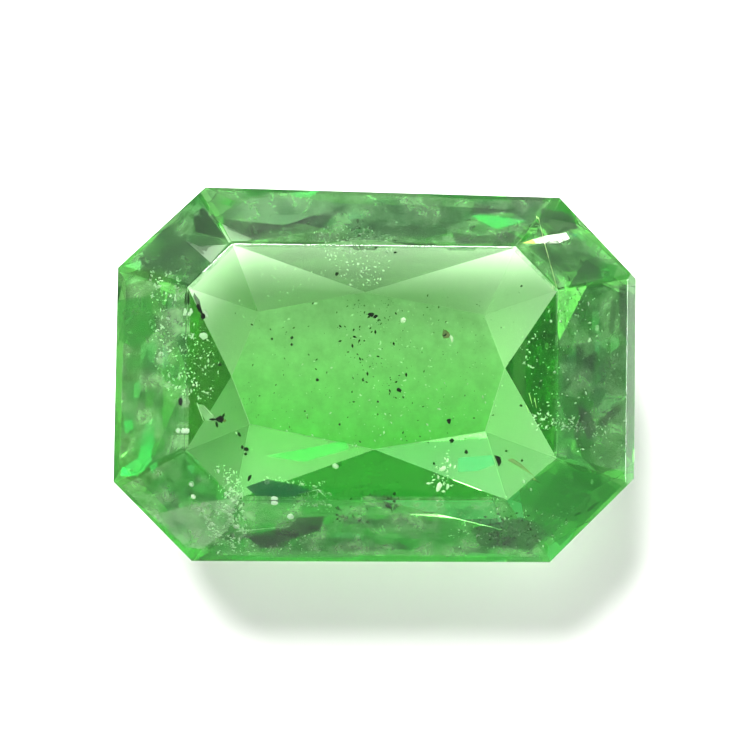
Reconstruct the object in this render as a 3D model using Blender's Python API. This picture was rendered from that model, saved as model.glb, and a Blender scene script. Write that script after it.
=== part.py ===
"""Cut tsavorite garnet, one faceted stone.

The stone is a rectangle with cut corners. It rests on a flat base facet with its table up.
It is made as a cutter makes it: a block is ground back, one flat facet after another.
Length runs along X, width along Y and depth along Z. The base facet lies on Z = 0.
"""

import math

import bmesh
import bpy
from mathutils import Vector

MM = 0.001
SNAP = 0.0001 * MM

# Heights above the base facet, in millimetres
GIRDLE_LOW = 1.85
GIRDLE_HIGH = 2.03
TABLE_HEIGHT = 2.68

# Corners of the girdle outline seen from above, in millimetres, clockwise from the top left
GIRDLE_CORNERS = (
    (-2.59, 2.87),
    (2.83, 2.71),
    (4.00, 1.47),
    (3.97, -1.59),
    (2.68, -2.87),
    (-2.80, -2.85),
    (-4.00, -1.64),
    (-3.93, 1.64),
)

# Corners of the table, in the same order
TABLE_CORNERS = (
    (-2.18, 2.00),
    (2.16, 1.95),
    (2.80, 1.29),
    (2.78, -1.27),
    (2.02, -1.92),
    (-2.14, -1.91),
    (-2.90, -1.16),
    (-2.86, 1.33),
)

# Heights of the star's outer points above the base facet, one under each table corner
STAR_HEIGHTS = (0.46, 0.46, 0.58, 0.62, 0.66, 0.66, 0.62, 0.58)

# Corners of the base facet, each one under the table edge with the same place in the list above
BASE_CORNERS = (
    (-0.14, 1.27),
    (1.69, 0.92),
    (2.00, 0.10),
    (1.70, -0.87),
    (-0.01, -1.15),
    (-1.92, -0.76),
    (-2.20, -0.02),
    (-1.79, 0.97),
)

# Break facets, the steep band of the pavilion just under the girdle
BREAK_SLOPE = math.radians(62.0)
CORNER_BREAK_SLOPE = math.radians(58.0)
CORNER_BREAK_LIFT = 0.05
LONG_SIDE_TURN = math.radians(1.6)
SHORT_SIDE_TURN = math.radians(2.8)

# Bevel ground along the right girdle edge
BEVEL_SIDE = 2
BEVEL_WIDTH = 0.13
BEVEL_SLOPE = math.radians(50.0)

STONE_COLOR = (0.27, 0.72, 0.24, 1.0)
STONE_IOR = 1.74

SIDE_COUNT = len(GIRDLE_CORNERS)
UP = Vector((0.0, 0.0, 1.0))
CENTRE = Vector((0.0, 0.0, 0.5 * TABLE_HEIGHT))


def clear_scene():
    """Remove every object that the file starts with."""
    for obj in list(bpy.data.objects):
        bpy.data.objects.remove(obj, do_unlink=True)


def at_height(corner, height):
    """A plan corner lifted to a height above the base facet."""
    return Vector((corner[0], corner[1], height))


def next_side(side):
    """The side that follows, going clockwise."""
    return (side + 1) % SIDE_COUNT


def is_corner_side(side):
    """True for the four short sides that cut the corners off."""
    return side % 2 == 1


def girdle_edge(side):
    """Both ends of one girdle edge, in plan."""
    start = at_height(GIRDLE_CORNERS[side], 0.0)
    end = at_height(GIRDLE_CORNERS[next_side(side)], 0.0)
    return start, end


def outward(side):
    """The level direction that a girdle edge faces."""
    start, end = girdle_edge(side)
    return UP.cross(end - start).normalized()


def facet_through(first, second, third):
    """A facet through three points, facing away from the middle of the stone."""
    normal = (second - first).cross(third - first).normalized()
    if normal.dot(first - CENTRE) < 0.0:
        normal.negate()
    return first, normal


def girdle_facets():
    """The upright facets of the girdle band."""
    facets = []
    for side in range(SIDE_COUNT):
        start, _ = girdle_edge(side)
        facets.append((start, outward(side)))
    return facets


def crown_facets():
    """One facet from each table edge down to the girdle."""
    facets = []
    for side in range(SIDE_COUNT):
        start, end = girdle_edge(side)
        foot = 0.5 * (start + end) + GIRDLE_HIGH * UP
        left = at_height(TABLE_CORNERS[side], TABLE_HEIGHT)
        right = at_height(TABLE_CORNERS[next_side(side)], TABLE_HEIGHT)
        facets.append(facet_through(left, right, foot))
    return facets


def bevel_facet():
    """The narrow bevel along the right girdle edge, cut into the crown facet above it."""
    start, end = girdle_edge(BEVEL_SIDE)
    middle = 0.5 * (start + end)
    table_edge = at_height(TABLE_CORNERS[BEVEL_SIDE], 0.0)
    crown_width = (middle - table_edge).dot(outward(BEVEL_SIDE))
    crown_rise = TABLE_HEIGHT - GIRDLE_HIGH
    top = GIRDLE_HIGH + crown_rise * BEVEL_WIDTH / crown_width
    point = middle - BEVEL_WIDTH * outward(BEVEL_SIDE) + top * UP
    normal = math.sin(BEVEL_SLOPE) * outward(BEVEL_SIDE) + math.cos(BEVEL_SLOPE) * UP
    return point, normal


def break_facet(side, place, height, slope, turn):
    """One break facet.

    It meets the girdle edge at a place from 0 to 1 along it, and is turned a little to one side.
    """
    start, end = girdle_edge(side)
    point = start.lerp(end, place) + height * UP
    along = (end - start).normalized()
    facing = math.cos(turn) * outward(side) + math.sin(turn) * along
    normal = math.sin(slope) * facing - math.cos(slope) * UP
    return point, normal


def break_facets():
    """Three break facets under each side of the girdle, and one under each cut corner."""
    facets = []
    for side in range(SIDE_COUNT):
        if is_corner_side(side):
            height = GIRDLE_LOW + CORNER_BREAK_LIFT
            facets.append(break_facet(side, 0.5, height, CORNER_BREAK_SLOPE, 0.0))
            continue
        turn = LONG_SIDE_TURN if side % 4 == 0 else SHORT_SIDE_TURN
        for place, sign in ((0.25, -1.0), (0.5, 0.0), (0.75, 1.0)):
            facets.append(break_facet(side, place, GIRDLE_LOW, BREAK_SLOPE, sign * turn))
    return facets


def star_facets():
    """The star under the table, sixteen facets around the base facet.

    Eight have their tip on a base corner and widen towards the girdle. The eight between them
    start at a base edge and run out to a point right under a table corner.
    """
    facets = []
    for side in range(SIDE_COUNT):
        tip = at_height(BASE_CORNERS[side], 0.0)
        tip_before = at_height(BASE_CORNERS[side - 1], 0.0)
        point = at_height(TABLE_CORNERS[side], STAR_HEIGHTS[side])
        after = next_side(side)
        point_after = at_height(TABLE_CORNERS[after], STAR_HEIGHTS[after])
        facets.append(facet_through(tip, point, point_after))
        facets.append(facet_through(tip_before, tip, point))
    return facets


def make_block(bm):
    """The rough block, as high as the stone and wider than its girdle."""
    bmesh.ops.create_cube(bm, size=1.0)
    reach = 3.0 * max(x for x, _ in GIRDLE_CORNERS)
    bmesh.ops.scale(bm, vec=(reach * MM, reach * MM, TABLE_HEIGHT * MM), verts=bm.verts)
    bmesh.ops.translate(bm, vec=(0.0, 0.0, 0.5 * TABLE_HEIGHT * MM), verts=bm.verts)


def grind(bm, facet):
    """Cut away what lies outside one facet, and close the cut with a flat face."""
    point, normal = facet
    cut = bmesh.ops.bisect_plane(
        bm,
        geom=bm.verts[:] + bm.edges[:] + bm.faces[:],
        dist=SNAP,
        plane_co=point * MM,
        plane_no=normal,
        clear_outer=True,
    )
    rim = [item for item in cut["geom_cut"] if isinstance(item, bmesh.types.BMEdge)]
    if len(rim) > 2:
        bmesh.ops.contextual_create(bm, geom=rim)


def make_material():
    """Transparent green garnet with a polished surface."""
    material = bpy.data.materials.new("green garnet")
    material.use_nodes = True
    shader = material.node_tree.nodes["Principled BSDF"]
    shader.inputs["Base Color"].default_value = STONE_COLOR
    shader.inputs["Roughness"].default_value = 0.02
    shader.inputs["Metallic"].default_value = 0.0
    shader.inputs["IOR"].default_value = STONE_IOR
    shader.inputs["Transmission Weight"].default_value = 1.0
    material.diffuse_color = STONE_COLOR
    return material


def make_stone():
    """The cut stone as one closed solid."""
    bm = bmesh.new()
    make_block(bm)
    for facet in girdle_facets() + crown_facets() + break_facets() + star_facets():
        grind(bm, facet)
    grind(bm, bevel_facet())
    bmesh.ops.recalc_face_normals(bm, faces=bm.faces)
    mesh = bpy.data.meshes.new("stone")
    bm.to_mesh(mesh)
    bm.free()
    mesh.materials.append(make_material())
    return bpy.data.objects.new("stone", mesh)


def main():
    """Build the stone in a collection of its own."""
    clear_scene()
    collection = bpy.data.collections.new("Tsavorite garnet")
    bpy.context.scene.collection.children.link(collection)
    collection.objects.link(make_stone())


main()
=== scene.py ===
"""Looks of a cut tsavorite garnet: the polished stone, what grew inside it, the films that paint its
reflections, light and shade, and the studio.
"""

import logging
import math
import random
from dataclasses import dataclass, field
from enum import Enum
from string import ascii_lowercase

import bmesh
import bpy
from mathutils import Euler, Matrix, Vector
from mathutils.bvhtree import BVHTree


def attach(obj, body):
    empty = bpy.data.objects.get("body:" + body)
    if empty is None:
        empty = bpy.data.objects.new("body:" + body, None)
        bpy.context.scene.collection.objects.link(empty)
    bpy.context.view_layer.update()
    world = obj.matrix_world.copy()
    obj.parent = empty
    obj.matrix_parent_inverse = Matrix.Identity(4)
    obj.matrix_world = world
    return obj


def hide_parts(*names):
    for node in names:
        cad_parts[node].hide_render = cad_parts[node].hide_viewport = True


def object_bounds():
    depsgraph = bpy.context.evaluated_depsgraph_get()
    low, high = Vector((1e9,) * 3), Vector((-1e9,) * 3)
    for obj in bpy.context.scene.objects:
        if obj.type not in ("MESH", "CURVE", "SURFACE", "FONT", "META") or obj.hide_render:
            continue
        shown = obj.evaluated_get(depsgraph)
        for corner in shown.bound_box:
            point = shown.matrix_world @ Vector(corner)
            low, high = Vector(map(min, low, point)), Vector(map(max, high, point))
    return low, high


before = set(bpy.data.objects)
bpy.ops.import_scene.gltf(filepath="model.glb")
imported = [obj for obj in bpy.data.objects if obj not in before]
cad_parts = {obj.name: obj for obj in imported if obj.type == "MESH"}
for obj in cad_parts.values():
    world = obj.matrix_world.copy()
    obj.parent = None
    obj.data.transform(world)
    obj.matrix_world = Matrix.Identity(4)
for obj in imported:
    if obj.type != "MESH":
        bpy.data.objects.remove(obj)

LOG = logging.getLogger("tsavorite")
CAD_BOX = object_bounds()
MM = 0.001
FULL_TURN = 2.0 * math.pi
BODY = "root"
STONE_NODE = "stone"
STONE_IOR = 1.74

# Place of the key light. The small cracks that flash face so that they mirror it.
KEY_PLACE = (-0.05, 0.132, 0.145)

# Between these two values lies nearly all that a noise texture gives
NOISE_LOW = 0.35
NOISE_HIGH = 0.65

Pixel = tuple[float, float]
Outline = tuple[Pixel, ...]


def srgb(code: str) -> tuple[float, float, float, float]:
    """Turn an sRGB hex colour into the linear colour that a shader socket takes.

    Args:
        code: Six hex digits, such as "8FDD85".

    Returns:
        Linear red, green and blue, and an alpha of one.
    """
    linear = []
    for start in (0, 2, 4):
        value = int(code[start:start + 2], 16) / 255.0
        linear.append(value / 12.92 if value <= 0.04045 else ((value + 0.055) / 1.055) ** 2.4)
    return (linear[0], linear[1], linear[2], 1.0)


def add_node(tree: bpy.types.NodeTree, kind: str, settings: dict | None = None,
             links: dict | None = None) -> bpy.types.Node:
    """Add one node with its settings and incoming links.

    Args:
        tree: The node tree that takes the node.
        kind: The node's type name.
        settings: Attribute names, or input names, and their values.
        links: Input names or indices, and the output sockets that feed them.

    Returns:
        The new node.
    """
    node = tree.nodes.new(kind)
    for name, value in (settings or {}).items():
        if hasattr(node, name):
            setattr(node, name, value)
        else:
            node.inputs[name].default_value = value
    for name, socket in (links or {}).items():
        tree.links.new(socket, node.inputs[name])
    return node


def empty_material(name: str) -> tuple[bpy.types.Material, bpy.types.NodeTree]:
    """Make a material whose node tree is empty.

    Args:
        name: The finish's name.

    Returns:
        The material and its node tree.
    """
    material = bpy.data.materials.new(name)
    material.use_nodes = True
    material.node_tree.nodes.clear()
    return material, material.node_tree


def make_mesh(bm: bmesh.types.BMesh, name: str) -> bpy.types.Mesh:
    """Turn an edit mesh into a plain mesh and free it.

    Args:
        bm: The edit mesh.
        name: The plain mesh's name.

    Returns:
        The plain mesh.
    """
    mesh = bpy.data.meshes.new(name)
    bm.to_mesh(mesh)
    bm.free()
    return mesh


def add_object(name: str, data: bpy.types.ID) -> bpy.types.Object:
    """Make an object of a mesh, a light or a camera and put it in the scene.

    Args:
        name: The object's name.
        data: The mesh, light or camera.

    Returns:
        The object.
    """
    added = bpy.data.objects.new(name, data)
    bpy.context.scene.collection.objects.link(added)
    return added


@dataclass(frozen=True)
class GarnetFinish:
    """Tsavorite, a vanadium-green grossular garnet, cut and polished to flat facets.

    The polish gives the eye sharp edges and mirror-like facets, and the depth gives the green.
    """

    ior: float = STONE_IOR
    depth_color: str = "AAED94"
    absorption_per_m: float = 400.0

    def build(self) -> bpy.types.Material:
        """Make the clear green material. The green comes only from depth, as in the crystal.

        Returns:
            The material.
        """
        material, tree = empty_material("polished_tsavorite")
        shader = add_node(tree, "ShaderNodeBsdfPrincipled", {
            "Base Color": srgb("FFFFFF"),
            "Roughness": 0.0,
            "IOR": self.ior,
            "Transmission Weight": 1.0,
        })
        depth = add_node(tree, "ShaderNodeVolumeAbsorption", {
            "Color": srgb(self.depth_color),
            "Density": self.absorption_per_m,
        })
        add_node(tree, "ShaderNodeOutputMaterial", links={
            "Surface": shader.outputs["BSDF"],
            "Volume": depth.outputs["Volume"],
        })
        return material


@dataclass(frozen=True)
class InclusionFinish:
    """A mineral or a healed crack inside the garnet, or a film that paints light and shade in it.

    Coverage below one lets part of the light straight through, as a film of tiny drops does.
    """

    name: str
    color: str
    roughness: float = 0.4
    transmission: float = 0.0
    coverage: float = 1.0
    specular: float = 0.5
    metallic: float = 0.0

    def build(self) -> bpy.types.Material:
        """Make the material, or find it if it is there already.

        Returns:
            The material.
        """
        if self.name in bpy.data.materials:
            return bpy.data.materials[self.name]
        material, tree = empty_material(self.name)
        shader = add_node(tree, "ShaderNodeBsdfPrincipled", {
            "Base Color": srgb(self.color),
            "Roughness": self.roughness,
            "Transmission Weight": self.transmission,
            "Specular IOR Level": self.specular,
            "Metallic": self.metallic,
            "Alpha": self.coverage,
        })
        add_node(tree, "ShaderNodeOutputMaterial", links={"Surface": shader.outputs["BSDF"]})
        return material


@dataclass(frozen=True)
class Mottle:
    """How a thin layer varies in thickness, and so in how much it hides."""

    patch_mm: float
    thin: float
    thick: float
    detail: float
    roughness: float
    distortion: float = 0.0

    def cover(self, tree: bpy.types.NodeTree, place: bpy.types.Node) -> bpy.types.NodeSocket:
        """Add the noise that sets how much the layer hides.

        Args:
            tree: The material's node tree.
            place: The tree's texture coordinates.

        Returns:
            The socket that gives the cover, from none at 0 to full at 1.
        """
        noise = add_node(tree, "ShaderNodeTexNoise", {
            "Scale": 1.0 / (self.patch_mm * MM), "Detail": self.detail,
            "Roughness": self.roughness, "Distortion": self.distortion},
            {"Vector": place.outputs["Object"]})
        cover = add_node(tree, "ShaderNodeMapRange", {
            "From Min": NOISE_LOW, "From Max": NOISE_HIGH,
            "To Min": self.thin, "To Max": self.thick}, {"Value": noise.outputs["Fac"]})
        return cover.outputs["Result"]


@dataclass(frozen=True)
class VeilAndReflectionFinish:
    """A veil of tiny fluid drops, which greys and mottles the green behind it, and paints the crown's
    reflections: pale where it paints reflected light, dark where it paints shade.
    """

    name: str
    light_color: str
    dark_color: str
    mottle: Mottle
    tone_share: float = 0.7
    tone_detail: float = 3.0
    tone_low: float = 0.42
    tone_high: float = 0.58
    roughness: float = 0.6

    def build(self) -> bpy.types.Material:
        """Make the material. Noise sets where the veil is thick, and how pale it is there, which paints
        reflected light and shade.

        Returns:
            The material.
        """
        if self.name in bpy.data.materials:
            return bpy.data.materials[self.name]
        material, tree = empty_material(self.name)
        place = add_node(tree, "ShaderNodeTexCoord")
        cover = self.mottle.cover(tree, place)
        patches = add_node(tree, "ShaderNodeTexNoise", {
            "Scale": self.tone_share / (self.mottle.patch_mm * MM),
            "Detail": self.tone_detail}, {"Vector": place.outputs["Object"]})
        tone = add_node(tree, "ShaderNodeValToRGB", links={"Fac": patches.outputs["Fac"]})
        dark, light = tone.color_ramp.elements
        dark.position = self.tone_low
        dark.color = srgb(self.dark_color)
        light.position = self.tone_high
        light.color = srgb(self.light_color)
        shader = add_node(tree, "ShaderNodeBsdfPrincipled", {"Roughness": self.roughness}, {
            "Base Color": tone.outputs["Color"], "Alpha": cover})
        add_node(tree, "ShaderNodeOutputMaterial", links={"Surface": shader.outputs["BSDF"]})
        return material


@dataclass(frozen=True)
class PaintedLightFinish:
    """Painted light on the base facet, as a thin film. It lets some light through and evens out the tone
    behind it.
    """

    pale_color: str = "FCFFFA"
    green_color: str = "98F090"
    pale_edge_mm: float = 1.0
    mottle: Mottle = Mottle(0.35, 0.60, 0.80, 6.0, 0.65)
    roughness: float = 0.8

    def build(self) -> bpy.types.Material:
        """Make the material, with painted light that is paler towards the long edge at the top, where the
        light comes from, than at the bottom.

        Returns:
            The material.
        """
        material, tree = empty_material("polishing_residue")
        place = add_node(tree, "ShaderNodeTexCoord")
        across = add_node(tree, "ShaderNodeSeparateXYZ", links={"Vector": place.outputs["Object"]})
        share = add_node(tree, "ShaderNodeMapRange", {
            "From Min": -self.pale_edge_mm * MM, "From Max": self.pale_edge_mm * MM},
            {"Value": across.outputs["Y"]})
        tone = add_node(tree, "ShaderNodeValToRGB", links={"Fac": share.outputs["Result"]})
        green, pale = tone.color_ramp.elements
        green.color = srgb(self.green_color)
        pale.color = srgb(self.pale_color)
        shader = add_node(tree, "ShaderNodeBsdfPrincipled", {"Roughness": self.roughness}, {
            "Base Color": tone.outputs["Color"], "Alpha": self.mottle.cover(tree, place)})
        add_node(tree, "ShaderNodeOutputMaterial", links={"Surface": shader.outputs["BSDF"]})
        return material


class Mineral(Enum):
    """What lies inside the stone, the films that paint light and shade in it, and the look of each."""

    # Dull dark crystals, which read as black grains from every side
    GRAPHITE = InclusionFinish("black_graphite", "060403", roughness=0.6, specular=0.05)
    # Frosty crystals, which catch the light as white grains
    CALCITE = InclusionFinish("white_calcite", "F4FFF0", roughness=0.5, transmission=0.3)
    # A crack filled with fluid, which pales what lies behind it
    FLUID = InclusionFinish("pale_fluid_film", "DDF5D6", roughness=0.3, coverage=0.45)
    # Wispy layers of drops with painted reflection and shade, which give most of the crown its mottled
    # green: the pale tone paints reflected light and the dark tone paints shade
    VEIL = VeilAndReflectionFinish("green_fluid_veil", "88C880", "146A26", Mottle(0.30, 0.05, 0.66, 8.0, 0.72, 0.6))
    # The same with more painted light in it, which gives the lower left its milky look
    PALE_VEIL = VeilAndReflectionFinish("pale_fluid_veil", "B0E0A4", "34A43A", Mottle(0.30, 0.0, 0.60, 8.0, 0.72, 0.6))
    # Painted shade: thin dull films, which lower the tone behind them where the crown shows dark
    MURK = InclusionFinish("murky_green_film", "2E5E30", roughness=0.5, coverage=0.5, specular=0.1)
    # A light film, which greys the lower left corner
    HAZE = InclusionFinish("grey_fluid_haze", "C4D8BC", roughness=0.5, coverage=0.35)
    # Painted shade: films that hide half the light or more, which read as the darkest greens. The smoky one
    # also darkens the real crack at the left
    DARK = InclusionFinish("dark_green_crack_film", "043C0C", roughness=0.5, coverage=0.88, specular=0.1)
    DEEP = InclusionFinish("deep_green_crack_film", "009010", roughness=0.5, coverage=0.55, specular=0.1)
    SMOKE = InclusionFinish("smoky_crack_film", "303A32", roughness=0.5, coverage=0.55, specular=0.1)
    POOL = InclusionFinish("dark_teal_crack_film", "0A5838", roughness=0.5, coverage=0.8, specular=0.1)
    # Iron stain in a crack, a dull brown
    STAIN = InclusionFinish("brown_stained_film", "8E8258", roughness=0.4, coverage=0.6)
    # Painted reflections: films that read as the soft bright patches of the cut's reflections
    BRIGHT = InclusionFinish("bright_green_crack_film", "5CFF66", roughness=0.3, coverage=0.42)
    SOFT = InclusionFinish("soft_green_crack_film", "50A850", roughness=0.3, coverage=0.5)
    TEAL = InclusionFinish("teal_crack_film", "48E08C", roughness=0.3, coverage=0.35)
    # The whitest grains, a little glossy, which stand out from the calcite
    FLASH = InclusionFinish("white_crack_mirror", "FFFFF4", roughness=0.2)
    # Flat cracks that mirror the key light, which give the stone its few vivid flashes
    WHITE_MIRROR = InclusionFinish("white_crack_glint", "FFFFF4", roughness=0.35, metallic=1.0)
    GREEN_MIRROR = InclusionFinish("green_crack_glint", "30C850", roughness=0.5, coverage=0.4, metallic=1.0)
    TEAL_MIRROR = InclusionFinish("teal_crack_glint", "38C084", roughness=0.55, coverage=0.4, metallic=1.0)
    GOLD_MIRROR = InclusionFinish("golden_crack_glint", "F8FF60", roughness=0.4, metallic=1.0)
    # Hair-thin crystals, which show as fine pale gold lines
    GOLD = InclusionFinish("golden_needle", "E9F3B4", roughness=0.3)


@dataclass(frozen=True)
class PhotoFrame:
    """How the photo frames the stone. Its pixels count from the top left corner."""

    width_px: float = 750.0
    stone_width_px: float = 522.7
    stone_middle_px: Pixel = (374.65, 374.75)
    camera_height: float = 0.30
    girdle_share: float = 0.75

    @property
    def pixel(self) -> float:
        """Metres that one pixel covers at the girdle."""
        return (CAD_BOX[1].x - CAD_BOX[0].x) / self.stone_width_px

    @property
    def girdle_height(self) -> float:
        """Height of the outline that the photo is measured on."""
        return self.girdle_share * CAD_BOX[1].z

    def on_girdle(self, pixel: Pixel) -> Vector:
        """Turn a pixel of the photo into the point behind it at girdle height.

        Args:
            pixel: The pixel of the photo.

        Returns:
            The point, in metres.
        """
        middle = 0.5 * (CAD_BOX[0] + CAD_BOX[1])
        across = (pixel[0] - self.stone_middle_px[0]) * self.pixel
        up = (self.stone_middle_px[1] - pixel[1]) * self.pixel
        return Vector((middle.x + across, middle.y + up, self.girdle_height))

    def camera_place(self) -> Vector:
        """Find the place of the camera, straight above the middle of the photo.

        Returns:
            The place, in metres.
        """
        place = self.on_girdle((0.5 * self.width_px, 0.5 * self.width_px))
        place.z = self.camera_height
        return place


@dataclass
class SightLine:
    """Follows the camera's view through a polished facet into the stone."""

    stone: bpy.types.Object
    photo: PhotoFrame
    ior: float = STONE_IOR
    far: float = 0.02
    clearance: float = 1e-6

    def __post_init__(self) -> None:
        """Keep the stone's facets for ray casting."""
        bm = bmesh.new()
        bm.from_mesh(self.stone.data)
        self.facets = BVHTree.FromBMesh(bm)
        bm.free()

    def bend(self, heading: Vector, normal: Vector) -> Vector:
        """Bend a direction of travel as it enters the stone through a facet.

        Args:
            heading: The direction outside the stone.
            normal: The direction that the facet faces.

        Returns:
            The direction inside the stone.
        """
        ratio = 1.0 / self.ior
        facing = -normal.dot(heading)
        push = ratio * facing - math.sqrt(1.0 - ratio ** 2 * (1.0 - facing ** 2))
        return (ratio * heading + push * normal).normalized()

    def enter(self, pixel: Pixel) -> tuple[Vector, Vector, Vector]:
        """Find where the view at a pixel meets the stone.

        Args:
            pixel: The pixel of the photo.

        Returns:
            The point on the facet, the facet's direction and the direction of view inside.
        """
        start = self.photo.camera_place()
        heading = (self.photo.on_girdle(pixel) - start).normalized()
        entry, normal, _, _ = self.facets.ray_cast(start, heading)
        return entry, normal, self.bend(heading, normal)

    def mirror(self, pixel: Pixel, lamp: Vector) -> Vector:
        """Find how a mirror inside the stone must face to show a lamp at a pixel.

        Args:
            pixel: The pixel of the photo.
            lamp: The place of the lamp.

        Returns:
            The direction that the mirror faces.
        """
        entry, normal, inside = self.enter(pixel)
        from_lamp = self.bend((entry - lamp).normalized(), normal)
        return -(inside + from_lamp).normalized()

    def reach(self, pixel: Pixel, share: float) -> Vector:
        """Find the point inside the stone that shows at a pixel.

        Args:
            pixel: The pixel of the photo.
            share: How deep to go, from 0 at the facet to 1 at the back of the stone.

        Returns:
            The point, in metres.
        """
        entry, _, inside = self.enter(pixel)
        back, _, _, _ = self.facets.ray_cast(entry + self.clearance * inside, inside, self.far)
        return entry.lerp(back, share)

    def sheet(self, bm: bmesh.types.BMesh, outline: Outline, share: float,
              tilt: float) -> bmesh.types.BMFace:
        """Add one face behind an outline in the photo, deeper on one side than on the other.

        Args:
            bm: The mesh that takes the face.
            outline: The outline's pixels.
            share: How deep the face's middle lies, from 0 at the facet to 1 at the back.
            tilt: How much deeper or higher its sides lie.

        Returns:
            The face.
        """
        count = len(outline)
        rim = []
        for index, pixel in enumerate(outline):
            depth = share + tilt * math.sin(FULL_TURN * index / count)
            rim.append(bm.verts.new(self.reach(pixel, depth)))
        return bm.faces.new(rim)


def put_inside(mesh: bpy.types.Mesh, name: str, mineral: Mineral) -> bpy.types.Object:
    """Make an object of an inclusion's mesh and fix it to the stone.

    Args:
        mesh: The inclusion's mesh.
        name: The object's name.
        mineral: What the inclusion is.

    Returns:
        The object.
    """
    piece = add_object(name, mesh)
    mesh.materials.clear()
    mesh.materials.append(mineral.value.build())
    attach(piece, BODY)
    return piece


@dataclass(frozen=True)
class Grain:
    """One angular mineral grain, seen at a pixel of the photo."""

    name: str
    pixel: Pixel
    size_px: tuple[float, float]
    turn: float = 0.0
    share: float = 0.3
    mineral: Mineral = Mineral.GRAPHITE
    roughness: float = 0.25
    flatness: float = 0.6
    lean: float = 0.2

    def shape(self, bm: bmesh.types.BMesh, sight: SightLine, rng: random.Random) -> None:
        """Add the grain's faces to a mesh.

        Args:
            bm: The mesh.
            sight: The view into the stone.
            rng: The grain's own random numbers.
        """
        middle = sight.reach(self.pixel, self.share)
        # One unit wide, so that the scale below is the grain's size
        made = bmesh.ops.create_icosphere(bm, subdivisions=1, radius=0.5)["verts"]
        for vert in made:
            vert.co *= 1.0 + self.roughness * rng.uniform(-1.0, 1.0)
        size = Vector((self.size_px[0], self.size_px[1], self.flatness * min(self.size_px)))
        scale = Matrix.Diagonal(size * sight.photo.pixel).to_4x4()
        turn = Euler((rng.uniform(-self.lean, self.lean), rng.uniform(-self.lean, self.lean),
                      math.radians(self.turn)))
        place = Matrix.Translation(middle) @ turn.to_matrix().to_4x4() @ scale
        bmesh.ops.transform(bm, matrix=place, verts=made)


@dataclass(frozen=True)
class Needle:
    """One straight needle between two pixels of the photo."""

    name: str
    start_px: Pixel
    end_px: Pixel
    width_px: float = 0.7
    share: float = 0.25
    mineral: Mineral = Mineral.GOLD
    sides: int = 5
    taper: float = 0.4
    dip: float = 0.04

    def shape(self, bm: bmesh.types.BMesh, sight: SightLine, rng: random.Random) -> None:
        """Add the needle's faces to a mesh.

        Args:
            bm: The mesh.
            sight: The view into the stone.
            rng: The needle's own random numbers.
        """
        start = sight.reach(self.start_px, self.share)
        end = sight.reach(self.end_px, self.share + rng.uniform(0.0, self.dip))
        along = end - start
        radius = 0.5 * self.width_px * sight.photo.pixel
        made = bmesh.ops.create_cone(bm, cap_ends=True, segments=self.sides, radius1=radius,
                                     radius2=self.taper * radius, depth=along.length)["verts"]
        turn = along.to_track_quat("Z", "Y").to_matrix().to_4x4()
        place = Matrix.Translation(0.5 * (start + end)) @ turn
        bmesh.ops.transform(bm, matrix=place, verts=made)


@dataclass(frozen=True)
class Film:
    """A thin crumpled sheet behind an outline in the photo, such as a healed crack or a film of painted
    shade or reflection.
    """

    name: str
    outline_px: Outline
    mineral: Mineral
    share: float = 0.08
    crumple_px: float = 0.3
    tilt: float = 0.01
    rounds: int = 2

    def shape(self, bm: bmesh.types.BMesh, sight: SightLine, rng: random.Random) -> None:
        """Add the sheet's faces to a mesh.

        Args:
            bm: The mesh.
            sight: The view into the stone.
            rng: The sheet's own random numbers.
        """
        face = sight.sheet(bm, self.outline_px, self.share, self.tilt)
        made = bmesh.ops.poke(bm, faces=[face])["faces"]
        for _ in range(self.rounds):
            edges = list({edge for piece in made for edge in piece.edges})
            parts = bmesh.ops.subdivide_edges(bm, edges=edges, cuts=1, use_grid_fill=True)
            made = [item for item in parts["geom"] if isinstance(item, bmesh.types.BMFace)]
        inner = {vert for piece in made for vert in piece.verts if not vert.is_boundary}
        for vert in sorted(inner, key=lambda item: tuple(item.co)):
            vert.co.z += self.crumple_px * sight.photo.pixel * rng.uniform(-1.0, 1.0)


@dataclass(frozen=True)
class Glint:
    """A flat crack that faces so that it mirrors the key light to the camera."""

    name: str
    outline_px: Outline
    share: float = 0.1
    mineral: Mineral = Mineral.GREEN_MIRROR
    lamp: tuple[float, float, float] = KEY_PLACE

    def shape(self, bm: bmesh.types.BMesh, sight: SightLine, rng: random.Random) -> None:
        """Add the crack's face to a mesh.

        Args:
            bm: The mesh.
            sight: The view into the stone.
            rng: Not used, because a flat crack has nothing random.
        """
        count = len(self.outline_px)
        middle = tuple(sum(pixel[axis] for pixel in self.outline_px) / count for axis in (0, 1))
        anchor = sight.reach(middle, self.share)
        facing = sight.mirror(middle, Vector(self.lamp))
        rim = []
        for pixel in self.outline_px:
            entry, _, inside = sight.enter(pixel)
            depth = (anchor - entry).dot(facing) / inside.dot(facing)
            rim.append(bm.verts.new(entry + depth * inside))
        bm.faces.new(rim)


@dataclass(frozen=True)
class Shards:
    """Angular patches under one crown facet, as the cut's many reflections look there."""

    name: str
    outline_px: Outline
    count: int
    size: float
    mineral: Mineral
    share: float = 0.17
    wander: float = 0.03
    smallest: float = 0.04

    def shape(self, bm: bmesh.types.BMesh, sight: SightLine, rng: random.Random) -> None:
        """Add the patches' faces to a mesh. Each one stays inside the facet's outline.

        Args:
            bm: The mesh.
            sight: The view into the stone.
            rng: The patches' own random numbers.
        """
        corners = [Vector(pixel) for pixel in self.outline_px]
        for _ in range(self.count):
            # The square draws each patch towards one corner, so that they spread out
            weights = [rng.random() ** 2 for _ in corners]
            middle = sum((weight * corner for weight, corner in zip(weights, corners)),
                         Vector((0.0, 0.0))) / sum(weights)
            share = self.share + rng.uniform(-self.wander, self.wander)
            rim = []
            for corner in corners:
                pixel = middle.lerp(corner, rng.uniform(self.smallest, self.size))
                rim.append(bm.verts.new(sight.reach(tuple(pixel), share)))
            bm.faces.new(rim)


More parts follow.
